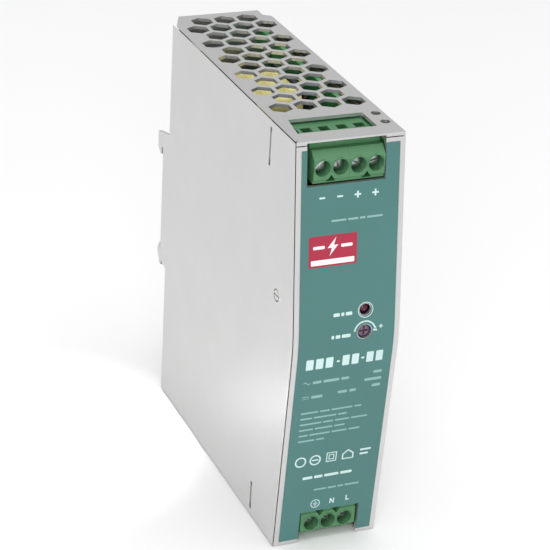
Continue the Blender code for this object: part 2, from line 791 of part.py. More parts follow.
def winding_sleeve(start, end):
    """A winding around part of the ring core: a hollow rectangular sleeve bent along an arc."""
    section_out = [(4.2, 1.4), (10.8, 1.4), (10.8, 10.4), (4.2, 10.4)]
    section_in = [(4.7, 2.0), (10.3, 2.0), (10.3, 9.8), (4.7, 9.8)]
    steps = 10
    shape = bmesh.new()
    rings = []
    for i in range(steps + 1):
        angle = math.radians(start + (end - start) * i / steps)
        ring = [
            shape.verts.new(
                Vector((x, CHOKE[0] + r * math.cos(angle), CHOKE[1] + r * math.sin(angle))) * MM
            )
            for r, x in section_out + section_in
        ]
        rings.append(ring)
    for near, far in zip(rings, rings[1:]):
        for k in range(4):
            j = (k + 1) % 4
            shape.faces.new((near[k], near[j], far[j], far[k]))
            shape.faces.new((near[4 + j], near[4 + k], far[4 + k], far[4 + j]))
    for ring in (rings[0], rings[-1]):
        for k in range(4):
            j = (k + 1) % 4
            shape.faces.new((ring[k], ring[j], ring[4 + j], ring[4 + k]))
    bmesh.ops.recalc_face_normals(shape, faces=shape.faces)
    return shape


def make_input_choke(ferrite, copper):
    core = rod("X", CHOKE, 10.0, 2.3, 9.5, sides=24)
    hole = rod("X", CHOKE, 5.0, 0.0, 12.0, sides=24)
    piece("input_choke_core", ferrite, core, cut=[hole])
    piece("input_choke_winding_upper", copper, winding_sleeve(25, 155))
    piece("input_choke_winding_lower", copper, winding_sleeve(205, 335))


def make_power_devices(aluminium, epoxy):
    """Switching transistor, rectifiers and the two plates that cool them."""
    def plate(name, y, z, bend):
        upright = box((-12.0, COMPONENT_FACE), y, z)
        flange = box((-12.0, -10.4), (y[0] + bend[0], y[1] + bend[1]), z)
        piece(name, aluminium, upright, add=[flange])

    def package(name, y, z_centre):
        """A flat power package with its metal tab against the plate behind it."""
        half = 5.0
        tab = box((-7.6, 7.4), (y - 1.3, y), (z_centre - half, z_centre + half))
        body = box((-1.6, 7.4), (y - 4.4, y - 0.6), (z_centre - half, z_centre + half))
        pins = box((7.0, COMPONENT_FACE), (y - 2.4, y - 1.6), (z_centre - 3.0, z_centre + 3.0))
        hole = rod("Y", (-4.6, z_centre), 1.8, y - 3, y + 1, sides=12)
        piece(name, epoxy, body, add=[tab, pins], cut=[hole])

    plate("primary_heatsink", (-14.0, -12.0), (-52.0, 8.0), (0.0, 6.0))
    plate("secondary_heatsink", (-18.0, -16.0), (20.0, 56.0), (0.0, 8.0))
    package("mosfet", -14.0 - GAP, -8.0)
    package("output_rectifier", -18.0 - GAP, 40.0)
    bridge = box((-6.0, 9.0), (-18.0, -14.0 - GAP), (-46.0, -26.0))
    leads = box((8.5, COMPONENT_FACE), (-16.6, -15.8), (-44.0, -28.0))
    piece("bridge_rectifier", epoxy, bridge, add=[leads])


def make_small_components(yellow, glass, blue, epoxy, white):
    body = prism("X", rounded_rectangle((-34.5, -60.0), (-17.5, -50.5), 1.0, 2), -4.5, COMPONENT_FACE)
    piece("x_capacitor", yellow, body)
    fuse_axis = (7.6, -57.5)
    profile = [(-79.5, 2.6), (-74.5, 2.6), (-74.5, 2.35), (-64.5, 2.35), (-64.5, 2.6), (-59.5, 2.6)]
    piece("fuse", glass, turned("Y", fuse_axis, profile, 16))
    disc = (3.6, -72.0)
    profile = [(-50.4, 3.6), (-49.8, 5.4), (-46.8, 5.4), (-46.2, 3.6)]
    leads = box((8.0, COMPONENT_FACE), (-74.5, -69.5), (-48.7, -47.9))
    piece("varistor", blue, turned("Z", disc, profile, 20), add=[leads])
    control = box((COMPONENT_FACE - 3.4, COMPONENT_FACE), (-63.0, -56.6), (-5.0, 5.0))
    piece("control_ic", epoxy, control)
    coupler = box((COMPONENT_FACE - 3.4, COMPONENT_FACE), (-63.0, -56.4), (12.0, 16.6))
    piece("optocoupler", white, coupler)


def make_boards(laminate, film, output, input_side):
    main = box((MAIN_FACE, MAIN_FACE + BOARD), (-98.5, -6.0), (-62.0, 57.5))
    piece("main_board", laminate, main)
    sheet = box((13.4, 13.8), (-99.0, -6.0), (-63.0, 58.5))
    piece("insulation_sheet", film, sheet)
    make_terminal_board("output_board", laminate, output, OUTPUT_POLES, (46.0, 58.6))
    make_terminal_board("input_board", laminate, input_side, INPUT_POLES, (-63.4, -52.0))


# ---------------------------------------------------------------- assembly

def main():
    clear_scene()
    case_steel = material("case_steel", (0.62, 0.61, 0.60), 0.42, 0.9)
    zinc = material("zinc_steel", (0.60, 0.60, 0.58), 0.35, 0.9)
    brass = material("tinned_brass", (0.72, 0.68, 0.55), 0.35, 0.9)
    teal = material("teal_label", (0.075, 0.285, 0.245), 0.5)
    green = material("green_plastic", (0.10, 0.37, 0.12), 0.45)
    laminate = material("board_laminate", (0.03, 0.22, 0.07), 0.5)
    film = material("insulating_film", (0.55, 0.50, 0.35), 0.4)
    blue = material("blue_plastic", (0.03, 0.12, 0.42), 0.45)
    white = material("white_plastic", (0.75, 0.75, 0.72), 0.5)
    red = material("red_lens", (0.25, 0.02, 0.02), 0.2)
    ferrite = material("ferrite", (0.035, 0.035, 0.04), 0.6)
    black = material("black_epoxy", (0.02, 0.02, 0.022), 0.5)
    tape = material("yellow_tape", (0.80, 0.66, 0.08), 0.4)
    sleeve = material("capacitor_sleeve", (0.02, 0.05, 0.16), 0.35)
    copper = material("enamelled_copper", (0.45, 0.16, 0.05), 0.35, 0.6)
    aluminium = material("aluminium_plate", (0.70, 0.70, 0.70), 0.4, 0.95)
    ceramic = material("fuse_ceramic", (0.72, 0.68, 0.60), 0.5)

    make_chassis(case_steel)
    make_side_cover(case_steel)
    make_front_panel(case_steel)
    make_front_label(teal)
    make_cover_screw(zinc)

    make_rail_latch(zinc)
    make_latch_screws(zinc)
    make_latch_spring(zinc)

    output = Block(OUTPUT_FRONT, OUTPUT_BASE, 1, OUTPUT_HEIGHT)
    input_side = Block(INPUT_FRONT, INPUT_BASE, -1, INPUT_HEIGHT)
    make_block("output_terminals_left", green, output, OUTPUT_POLES[:2], -0.03)
    make_block("output_terminals_right", green, output, OUTPUT_POLES[2:], -0.03)
    make_block("input_terminals", green, input_side, INPUT_POLES, 0.75)
    slot_angles = (-40, 75, 25, -15, 35, 20, 15)
    places = [(output, x) for x in OUTPUT_POLES] + [(input_side, x) for x in INPUT_POLES]
    for number, ((block, x), angle) in enumerate(zip(places, slot_angles), start=1):
        make_pole(number, block, x, angle, zinc, brass)

    make_trimmer(blue, white)
    make_status_led(red)
    make_boards(laminate, film, output, input_side)
    make_transformer(ferrite, black, tape)
    make_capacitors(sleeve, black)
    make_input_choke(ferrite, copper)
    make_power_devices(aluminium, black)
    make_small_components(tape, ceramic, blue, black, white)


main()
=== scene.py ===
import math

import bmesh
import bpy
from mathutils import Matrix, Vector


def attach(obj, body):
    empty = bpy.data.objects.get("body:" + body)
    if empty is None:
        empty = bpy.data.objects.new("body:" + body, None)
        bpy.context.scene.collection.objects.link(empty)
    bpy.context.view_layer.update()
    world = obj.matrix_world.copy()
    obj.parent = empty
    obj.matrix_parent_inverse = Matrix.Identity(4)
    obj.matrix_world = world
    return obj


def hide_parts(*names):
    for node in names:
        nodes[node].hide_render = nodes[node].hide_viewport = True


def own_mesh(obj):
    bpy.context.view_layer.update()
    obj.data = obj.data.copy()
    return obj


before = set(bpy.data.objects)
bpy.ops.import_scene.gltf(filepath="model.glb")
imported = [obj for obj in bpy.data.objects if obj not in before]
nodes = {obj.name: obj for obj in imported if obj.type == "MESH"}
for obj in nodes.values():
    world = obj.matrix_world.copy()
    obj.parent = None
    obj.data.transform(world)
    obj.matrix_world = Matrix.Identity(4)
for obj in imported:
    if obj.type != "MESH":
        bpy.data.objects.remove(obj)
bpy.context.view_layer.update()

scene = bpy.context.scene

MM = 0.001

# Lengths are in mm, in the frame's axes, except where the light and camera are placed, in metres.
# The front of the case, as the CAD model has it: two straight runs and a tangent arc.
TOP = 60.3
BOTTOM = -64.9
APEX = Vector((-107.6, 2.0))  # (y, z) where the two runs would meet
FRONT_TOP_Y = -101.0
FRONT_BOTTOM_Y = -102.3
FRONT_RADIUS = 60.0

# Terminal blocks
POLE_PITCH = 5.2
OUTPUT_POLES = (-8.2, -3.0, 2.2, 7.4)
INPUT_POLES = (-4.35, 0.85, 6.05)
OUTPUT_FRONT = -102.2
INPUT_FRONT = -102.4
OUTPUT_BASE = 48.3
INPUT_BASE = -54.8
OUTPUT_HEIGHT = 10.4
INPUT_HEIGHT = 9.3
BLOCK_DEPTH = 18.6
SHELF_HEIGHT = 8.8  # the low shelf behind the chamfer at the front of the block
SHELF_DEPTH = 4.2
SCREW_HEIGHT = 4.3  # the screws' axis above the closed side
HEAD_HOLE = 2.25  # radius

# Indicator and trimmer
INDICATOR_X = 5.4
LED_Z = 11.0
TRIMMER_Z = 4.5


# ---------------------------------------------------------------- materials

def link(tree, source, output, target, socket):
    tree.links.new(source.outputs[output], target.inputs[socket])


def noise(tree, place, scale, detail=4.0, stretch=(1.0, 1.0, 1.0)):
    """A noise texture in object coordinates, stretched along the axes."""
    mapping = tree.nodes.new("ShaderNodeMapping")
    mapping.inputs["Scale"].default_value = stretch
    texture = tree.nodes.new("ShaderNodeTexNoise")
    texture.inputs["Scale"].default_value = scale
    texture.inputs["Detail"].default_value = detail
    link(tree, place, "Object", mapping, "Vector")
    link(tree, mapping, "Vector", texture, "Vector")
    return texture


def spread(tree, texture, low, high, low_value, high_value):
    """Remaps a texture's middle range to two values."""
    node = tree.nodes.new("ShaderNodeMapRange")
    for socket, value in zip(
        ("From Min", "From Max", "To Min", "To Max"), (low, high, low_value, high_value)
    ):
        node.inputs[socket].default_value = value
    link(tree, texture, 0, node, "Value")
    return node


def blend_colours(tree, factor, first, second):
    node = tree.nodes.new("ShaderNodeMix")
    node.data_type = "RGBA"
    node.inputs[6].default_value = (*first, 1.0)
    node.inputs[7].default_value = (*second, 1.0)
    tree.links.new(factor.outputs[0], node.inputs[0])
    return node


def finish(
    name,
    colour,
    roughness,
    metallic=0.0,
    grain=900.0,
    stretch=(1.0, 1.0, 1.0),
    shade=0.06,
    rough_spread=0.06,
    bump=0.15,
    bump_depth=0.00003,
    patches=60.0,
    coat=0.0,
    transmission=0.0,
):
    """A material with broad patches of shade, varied gloss and a fine grain in relief."""
    made = bpy.data.materials.new(name)
    made.use_nodes = True
    tree = made.node_tree
    shader = tree.nodes["Principled BSDF"]
    shader.inputs["Metallic"].default_value = metallic
    shader.inputs["Coat Weight"].default_value = coat
    shader.inputs["Transmission Weight"].default_value = transmission
    place = tree.nodes.new("ShaderNodeTexCoord")
    broad = noise(tree, place, patches, 3.0)
    fine = noise(tree, place, grain, 6.0, stretch)
    tone = spread(tree, broad, 0.3, 0.7, 0.0, 1.0)
    darker = tuple(c * (1.0 - shade) for c in colour)
    lighter = tuple(min(1.0, c * (1.0 + shade)) for c in colour)
    tint = blend_colours(tree, tone, darker, lighter)
    tree.links.new(tint.outputs[2], shader.inputs["Base Color"])
    gloss = spread(tree, fine, 0.3, 0.7, roughness - rough_spread, roughness + rough_spread)
    link(tree, gloss, 0, shader, "Roughness")
    relief = tree.nodes.new("ShaderNodeBump")
    relief.inputs["Strength"].default_value = bump
    relief.inputs["Distance"].default_value = bump_depth
    link(tree, fine, 0, relief, "Height")
    link(tree, relief, "Normal", shader, "Normal")
    return made


CASE = finish(
    "case_metal", (0.64, 0.635, 0.635), 0.36, metallic=0.82, grain=1500, shade=0.018, bump=0.22
)
LABEL = finish(
    "label", (0.060, 0.180, 0.168), 0.46, grain=2600, shade=0.05, bump=0.12, patches=35
)
INK = finish("white_ink", (0.56, 0.74, 0.72), 0.5, grain=2600, shade=0.05, bump=0.08)
FAINT_INK = finish("faint_ink", (0.25, 0.44, 0.42), 0.5, grain=2600, shade=0.05, bump=0.08)
BADGE_INK = finish("badge_ink", (0.38, 0.013, 0.048), 0.4, grain=2600, shade=0.05, bump=0.08)
BADGE_WHITE = finish("badge_white", (0.86, 0.80, 0.80), 0.45, grain=2600, shade=0.03, bump=0.08)
ZINC = finish(
    "plated_steel", (0.62, 0.62, 0.60), 0.30, metallic=1.0, grain=1200, shade=0.08, bump=0.2
)
SCREW = finish(
    "screw_plating", (0.42, 0.43, 0.43), 0.24, metallic=1.0, grain=1200, shade=0.1, bump=0.2
)
SPRING_STEEL = finish(
    "spring_steel", (0.55, 0.55, 0.56), 0.25, metallic=1.0, grain=3000, shade=0.05
)
TERMINAL = finish(
    "terminal_plastic", (0.072, 0.215, 0.095), 0.42, grain=1800, shade=0.08, bump=0.12, patches=120
)
TINNED = finish("contact_metal", (0.72, 0.68, 0.55), 0.3, metallic=1.0, grain=1500, shade=0.06)
INSULATION = finish("insulation", (0.12, 0.11, 0.08), 0.4, grain=1500, shade=0.05)
TRIMMER = finish("trimmer_plastic", (0.03, 0.10, 0.40), 0.4, grain=1500, shade=0.06)
ROTOR = finish("rotor_plastic", (0.17, 0.10, 0.145), 0.35, grain=1500, shade=0.06)
FERRITE = finish(
    "ferrite", (0.035, 0.035, 0.04), 0.55, grain=1400, shade=0.15, bump=0.4, patches=200
)
BLACK = finish("black_plastic", (0.018, 0.018, 0.022), 0.42, grain=1500, shade=0.1)
TAPE = finish(
    "yellow_tape", (0.90, 0.82, 0.30), 0.28, grain=300, stretch=(8, 1, 1), shade=0.06, bump=0.25,
    coat=0.25,
)
SLEEVE = finish("capacitor_sleeve", (0.02, 0.05, 0.16), 0.3, grain=900, shade=0.08, coat=0.3)
COPPER = finish(
    "copper_wire", (0.50, 0.17, 0.05), 0.28, metallic=0.7, grain=700, shade=0.1, coat=0.4
)
ALUMINIUM = finish(
    "heatsink_aluminium", (0.70, 0.70, 0.70), 0.38, metallic=1.0, grain=700, stretch=(1, 1, 12),
    shade=0.05,
)
CERAMIC = finish("fuse_body", (0.72, 0.68, 0.60), 0.5, grain=1500, shade=0.05)
EPOXY = finish("varistor_coat", (0.03, 0.12, 0.42), 0.35, grain=400, shade=0.08, bump=0.4)
WHITE_PLASTIC = finish("coupler_plastic", (0.72, 0.72, 0.69), 0.42, grain=1500, shade=0.04)
LENS = finish(
    "led_lens", (0.13, 0.012, 0.04), 0.14, grain=800, shade=0.05, rough_spread=0.02, bump=0.03,
    transmission=0.35,
)


def board_finish():
    """Solder mask with tracks under it, as lighter lines and fields in a brick pattern."""
    made = finish("board", (0.035, 0.23, 0.060), 0.33, grain=1600, shade=0.08, coat=0.3)
    tree = made.node_tree
    shader = tree.nodes["Principled BSDF"]
    place = next(n for n in tree.nodes if n.type == "TEX_COORD")
    tracks = tree.nodes.new("ShaderNodeTexBrick")
    tracks.inputs["Scale"].default_value = 170.0
    tracks.inputs["Mortar Size"].default_value = 0.035
    tracks.inputs["Color1"].default_value = (0.035, 0.23, 0.060, 1.0)
    tracks.inputs["Color2"].default_value = (0.040, 0.27, 0.075, 1.0)
    tracks.inputs["Mortar"].default_value = (0.075, 0.36, 0.11, 1.0)
    turn = tree.nodes.new("ShaderNodeMapping")
    turn.inputs["Rotation"].default_value = (0.0, math.radians(90), 0.0)
    link(tree, place, "Object", turn, "Vector")
    link(tree, turn, "Vector", tracks, "Vector")
    link(tree, tracks, "Color", shader, "Base Color")
    return made


BOARD = board_finish()


# ---------------------------------------------------------------- mesh helpers
# A shape is a bmesh in mm; make_piece turns it into an object in metres.

def on_axis(axis, along, first, second):
    return {
        "X": (along, first, second),
        "Y": (first, along, second),
        "Z": (first, second, along),
    }[axis]


def circle(centre, radius, sides, start=0.0):
    return [
        (
            centre[0] + radius * math.cos(start + 2 * math.pi * i / sides),
            centre[1] + radius * math.sin(start + 2 * math.pi * i / sides),
        )
        for i in range(sides)
    ]


def loft(*loops):
    """A closed solid through loops with the same number of points."""
    shape = bmesh.new()
    rings = [[shape.verts.new(p) for p in loop] for loop in loops]
    count = len(loops[0])
    for near, far in zip(rings, rings[1:]):
        for i in range(count):
            j = (i + 1) % count
            shape.faces.new((near[i], near[j], far[j], far[i]))
    shape.faces.new(rings[0])
    shape.faces.new(rings[-1])
    bmesh.ops.recalc_face_normals(shape, faces=shape.faces)
    return shape


def prism(axis, outline, low, high):
    return loft(
        [on_axis(axis, low, *p) for p in outline], [on_axis(axis, high, *p) for p in outline]
    )


def rectangle(x, y):
    return [(x[0], y[0]), (x[1], y[0]), (x[1], y[1]), (x[0], y[1])]


def around(middle, half):
    return (middle - half, middle + half)


def box(x, y, z):
    return prism("Z", rectangle(x, y), *z)


def rod(axis, centre, radius, low, high, sides=48):
    return prism(axis, circle(centre, radius, sides), low, high)


def turned(axis, centre, profile, sides=48):
    """A solid of revolution from (height, radius) pairs."""
    return loft(
        *([on_axis(axis, height, *p) for p in circle(centre, radius, sides)]
          for height, radius in profile)
    )


def rounded_rectangle(low, high, radius, steps=6):
    corners = (
        (high[0] - radius, high[1] - radius),
        (low[0] + radius, high[1] - radius),
        (low[0] + radius, low[1] + radius),
        (high[0] - radius, low[1] + radius),
    )
    points = []
    for quarter, (cx, cy) in enumerate(corners):
        for i in range(steps + 1):
            angle = math.pi / 2 * (quarter + i / steps)
            points.append((cx + radius * math.cos(angle), cy + radius * math.sin(angle)))
    return points


def joined(*shapes):
    whole = bmesh.new()
    for shape in shapes:
        mesh = bpy.data.meshes.new("joined")
        shape.to_mesh(mesh)
        shape.free()
        whole.from_mesh(mesh)
        bpy.data.meshes.remove(mesh)
    return whole


def object_from(name, shape):
    mesh = bpy.data.meshes.new(name)
    shape.to_mesh(mesh)
    shape.free()
    made = bpy.data.objects.new(name, mesh)
    scene.collection.objects.link(made)
    return made


def evaluated_mesh(obj):
    graph = bpy.context.evaluated_depsgraph_get()
    return bpy.data.meshes.new_from_object(obj.evaluated_get(graph))


def discard(obj):
    data = obj.data
    bpy.data.objects.remove(obj, do_unlink=True)
    (bpy.data.curves if isinstance(data, bpy.types.Curve) else bpy.data.meshes).remove(data)


def carve(shape, *cutters):
    """The shape with the cutters taken away."""
    base = object_from("base", shape)
    for cutter in cutters:
        tool = object_from("tool", cutter)
        modifier = base.modifiers.new("carve", "BOOLEAN")
        modifier.operation = "DIFFERENCE"
        modifier.solver = "EXACT"
        modifier.object = tool
        result = evaluated_mesh(base)
        base.modifiers.clear()
        previous = base.data
        base.data = result
        bpy.data.meshes.remove(previous)
        discard(tool)
    carved = bmesh.new()
    carved.from_mesh(base.data)
    discard(base)
    return carved


def plate(loops, near, far):
    """A flat plate across Y between two depths; loops inside others become holes or islands."""
    curve = bpy.data.curves.new("outline", "CURVE")
    curve.dimensions = "2D"
    curve.fill_mode = "BOTH"
    curve.extrude = (far - near) / 2
    for loop in loops:
        spline = curve.splines.new("POLY")
        spline.points.add(len(loop) - 1)
        for point, (x, z) in zip(spline.points, loop):
            point.co = (x, z, 0.0, 1.0)
        spline.use_cyclic_u = True
    holder = bpy.data.objects.new("outline", curve)
    scene.collection.objects.link(holder)
    mesh = evaluated_mesh(holder)
    discard(holder)
    shape = bmesh.new()
    shape.from_mesh(mesh)
    bpy.data.meshes.remove(mesh)
    bmesh.ops.remove_doubles(shape, verts=shape.verts, dist=0.0005)
    middle = Matrix.Translation((0.0, (near + far) / 2, 0.0))
    upright = Matrix.Rotation(math.pi / 2, 4, "X")
    bmesh.ops.transform(shape, matrix=middle @ upright, verts=shape.verts)
    return shape


def make_piece(name, shape, material, body, replaces=(), bevel=0.0, smooth=40.0):
    """Turns a shape into a piece of the object, with rounded edges and smooth round faces."""
    bmesh.ops.transform(shape, matrix=Matrix.Scale(MM, 4), verts=shape.verts)
    bmesh.ops.recalc_face_normals(shape, faces=shape.faces)
    piece = object_from(name, shape)
    piece.data.materials.append(material)
    if bevel:
        add_bevel(piece, bevel)
    piece.data.shade_smooth()
    piece.data.set_sharp_from_angle(angle=math.radians(smooth))
    if bevel:
        even_normals(piece)
    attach(piece, body)
    if replaces:
        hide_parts(*replaces)
    return piece


def add_bevel(obj, width):
    modifier = obj.modifiers.new("edges", "BEVEL")
    modifier.width = width * MM
    modifier.segments = 2
    modifier.limit_method = "ANGLE"
    modifier.angle_limit = math.radians(38)
    modifier.use_clamp_overlap = True
    modifier.miter_outer = "MITER_ARC"
    modifier.harden_normals = True


def even_normals(obj):
    modifier = obj.modifiers.new("normals", "WEIGHTED_NORMAL")
    modifier.keep_sharp = True
    modifier.weight = 80


def dress(name, material, bevel=0.12, dissolve=False):
    """Gives a carried-over CAD node its finish, welded faces and rounded edges.

    dissolve merges flat neighbouring triangles first, where long slivers would spoil the bevel.
    """
    node = nodes[name]
    stored = node.data.attributes.get("custom_normal")
    if stored:
        node.data.attributes.remove(stored)
    node.data.materials.clear()
    node.data.materials.append(material)
    weld = node.modifiers.new("weld", "WELD")
    weld.merge_threshold = 0.000002
    if dissolve:
        flat = node.modifiers.new("flat", "DECIMATE")
        flat.decimate_type = "DISSOLVE"
        flat.angle_limit = math.radians(0.5)
    node.data.shade_smooth()
    if bevel:
        add_bevel(node, bevel)
        even_normals(node)


# ---------------------------------------------------------------- the curved front

def front_runs():
    """The two straight runs and the arc between them, as (angle, angle, centre)."""
    upper = (Vector((FRONT_TOP_Y, TOP)) - APEX).normalized()
    lower = (Vector((FRONT_BOTTOM_Y, BOTTOM)) - APEX).normalized()
    upper_angle = math.atan2(upper.x, upper.y)
    lower_angle = -math.atan2(lower.x, -lower.y)
    middle = (upper_angle + lower_angle) / 2
    reach = FRONT_RADIUS / math.cos((upper_angle - lower_angle) / 2)
    centre = APEX + Vector((math.cos(middle), -math.sin(middle))) * reach
    return upper_angle, lower_angle, centre


UPPER_ANGLE, LOWER_ANGLE, ARC_CENTRE = front_runs()


def front_y(z):
    """The y of the front panel's outer face at a height."""
    def at(angle):
        return ARC_CENTRE + Vector((-math.cos(angle), math.sin(angle))) * FRONT_RADIUS

    high, low = at(UPPER_ANGLE), at(LOWER_ANGLE)
    if z > high.y:
        return high.x + (z - high.y) * math.tan(UPPER_ANGLE)
    if z < low.y:
        return low.x + (z - low.y) * math.tan(LOWER_ANGLE)
    return ARC_CENTRE.x - math.sqrt(FRONT_RADIUS ** 2 - (z - ARC_CENTRE.y) ** 2)


def bend_to_front(shape, step=1.0):
    """Lays a flat shape, whose y is a depth behind the front, on the curved front."""
    low = min(v.co.z for v in shape.verts)
    high = max(v.co.z for v in shape.verts)
    for k in range(math.ceil(low / step), math.floor(high / step) + 1):
        everything = [*shape.verts, *shape.edges, *shape.faces]
        bmesh.ops.bisect_plane(
            shape, geom=everything, dist=1e-5, plane_co=(0, 0, k * step), plane_no=(0, 0, 1)
        )
    for v in shape.verts:
        v.co.y += front_y(v.co.z)
    return shape


# ---------------------------------------------------------------- the case

def dress_case():
    for name in ("chassis", "side_cover", "front_panel"):
        dress(name, CASE, 0.16)
    dress("cover_screw", ZINC, 0.1)
    dress("rail_latch", ZINC, 0.15, dissolve=True)
    dress("latch_screw_left", ZINC, 0.1)
    dress("latch_screw_right", ZINC, 0.1)


# ---------------------------------------------------------------- the label and its print
# Positions on the front are (x, z); near and far are depths behind the front, so negative is proud.

LABEL_LOW = -63.6
LABEL_HIGH = 57.8
LABEL_LEFT = -14.2
LABEL_RIGHT = 14.4
LABEL_NEAR = -0.21
LABEL_FAR = -0.05
PRINT_NEAR = -0.235
BADGE_NEAR = -0.25
LAYER_GAP = 0.001
LED_WINDOW = 1.9  # radii of the label's two round holes
TRIMMER_WINDOW = 2.3

UPPER_OPENING = (-12.7, 10.3, 47.8)  # left, right and the edge across
LOWER_OPENING = (-8.4, 10.0, -54.4)


def label_outline():
    """The label's edge, which runs round the two terminal openings."""
    left, right, edge = UPPER_OPENING
    low_left, low_right, low_edge = LOWER_OPENING
    return [
        (LABEL_LEFT, LABEL_LOW), (low_left, LABEL_LOW), (low_left, low_edge),
        (low_right, low_edge), (low_right, LABEL_LOW), (LABEL_RIGHT, LABEL_LOW),
        (LABEL_RIGHT, LABEL_HIGH), (right, LABEL_HIGH), (right, edge),
        (left, edge), (left, LABEL_HIGH), (LABEL_LEFT, LABEL_HIGH),
    ]


def bar(x, z, length, height=0.5):
    """A printed dash with soft corners, from its left end and its centre height."""
    radius = min(0.3 * height, 0.25)
    return rounded_rectangle((x, z - height / 2), (x + length, z + height / 2), radius, 3)


def bars(x, z, lengths, height=0.5, gap=0.7):
    """A line of dashes of the given lengths, which stands for a printed legend."""
    shapes = []
    for length in lengths:
        shapes.append(bar(x, z, length, height))
        x += length + gap
    return shapes


def plus(x, z, size, stroke):
    a, b = size / 2, stroke / 2
    return [
        (x - a, z - b), (x - b, z - b), (x - b, z - a), (x + b, z - a), (x + b, z - b),
        (x + a, z - b), (x + a, z + b), (x + b, z + b), (x + b, z + a), (x - b, z + a),
        (x - b, z + b), (x - a, z + b),
    ]


def ring(x, z, outer, inner, sides=40):
    return [circle((x, z), outer, sides), circle((x, z), inner, sides)]


def arc_band(centre, radius, width, start, end, steps=28):
    """A curved stroke round a centre, between two angles in degrees."""
    angles = [math.radians(start + (end - start) * i / steps) for i in range(steps + 1)]
    outer = [(centre[0] + (radius + width / 2) * math.cos(a),
              centre[1] + (radius + width / 2) * math.sin(a)) for a in angles]
    inner = [(centre[0] + (radius - width / 2) * math.cos(a),
              centre[1] + (radius - width / 2) * math.sin(a)) for a in reversed(angles)]
    return outer + inner


def stroke(points, width):
    """A printed line of even width through some points."""
    side_a, side_b = [], []
    for i, point in enumerate(points):
        before = Vector(points[max(i - 1, 0)])
        after = Vector(points[min(i + 1, len(points) - 1)])
        along = (after - before).normalized()
        across = Vector((-along.y, along.x)) * width / 2
        side_a.append(tuple(Vector(point) + across))
        side_b.append(tuple(Vector(point) - across))
    return side_a + side_b[::-1]


def earth_mark(x, z):
    """The protective earth symbol: a ring round a stem and three bars."""
    marks = ring(x, z, 1.45, 1.2)
    marks.append(bar(x - 0.12, z + 0.55, 0.24, 0.75))
    for k, half in enumerate((0.75, 0.5, 0.25)):
        marks.append(bar(x - half, z + 0.05 - 0.38 * k, 2 * half, 0.2))
    return marks


def wave_mark(x, z, width, height, line):
    """The alternating-current symbol."""
    points = [
        (x + width * i / 20, z + height / 2 * math.sin(2 * math.pi * i / 20)) for i in range(21)
    ]
    return [stroke(points, line)]


def direct_mark(x, z, width):
    """The direct-current symbol: a line over three dashes."""
    dash = width * 0.24
    marks = [bar(x, z + 0.32, width, 0.24)]
    for k in range(3):
        marks.append(bar(x + k * (width - dash) / 2, z - 0.32, dash, 0.24))
    return marks


def printed(name, marks, ink):
    """Printed marks as one thin piece on the label."""
    shape = bend_to_front(plate(marks, PRINT_NEAR, LABEL_NEAR - LAYER_GAP))
    return make_piece(name, shape, ink, "case", smooth=30)


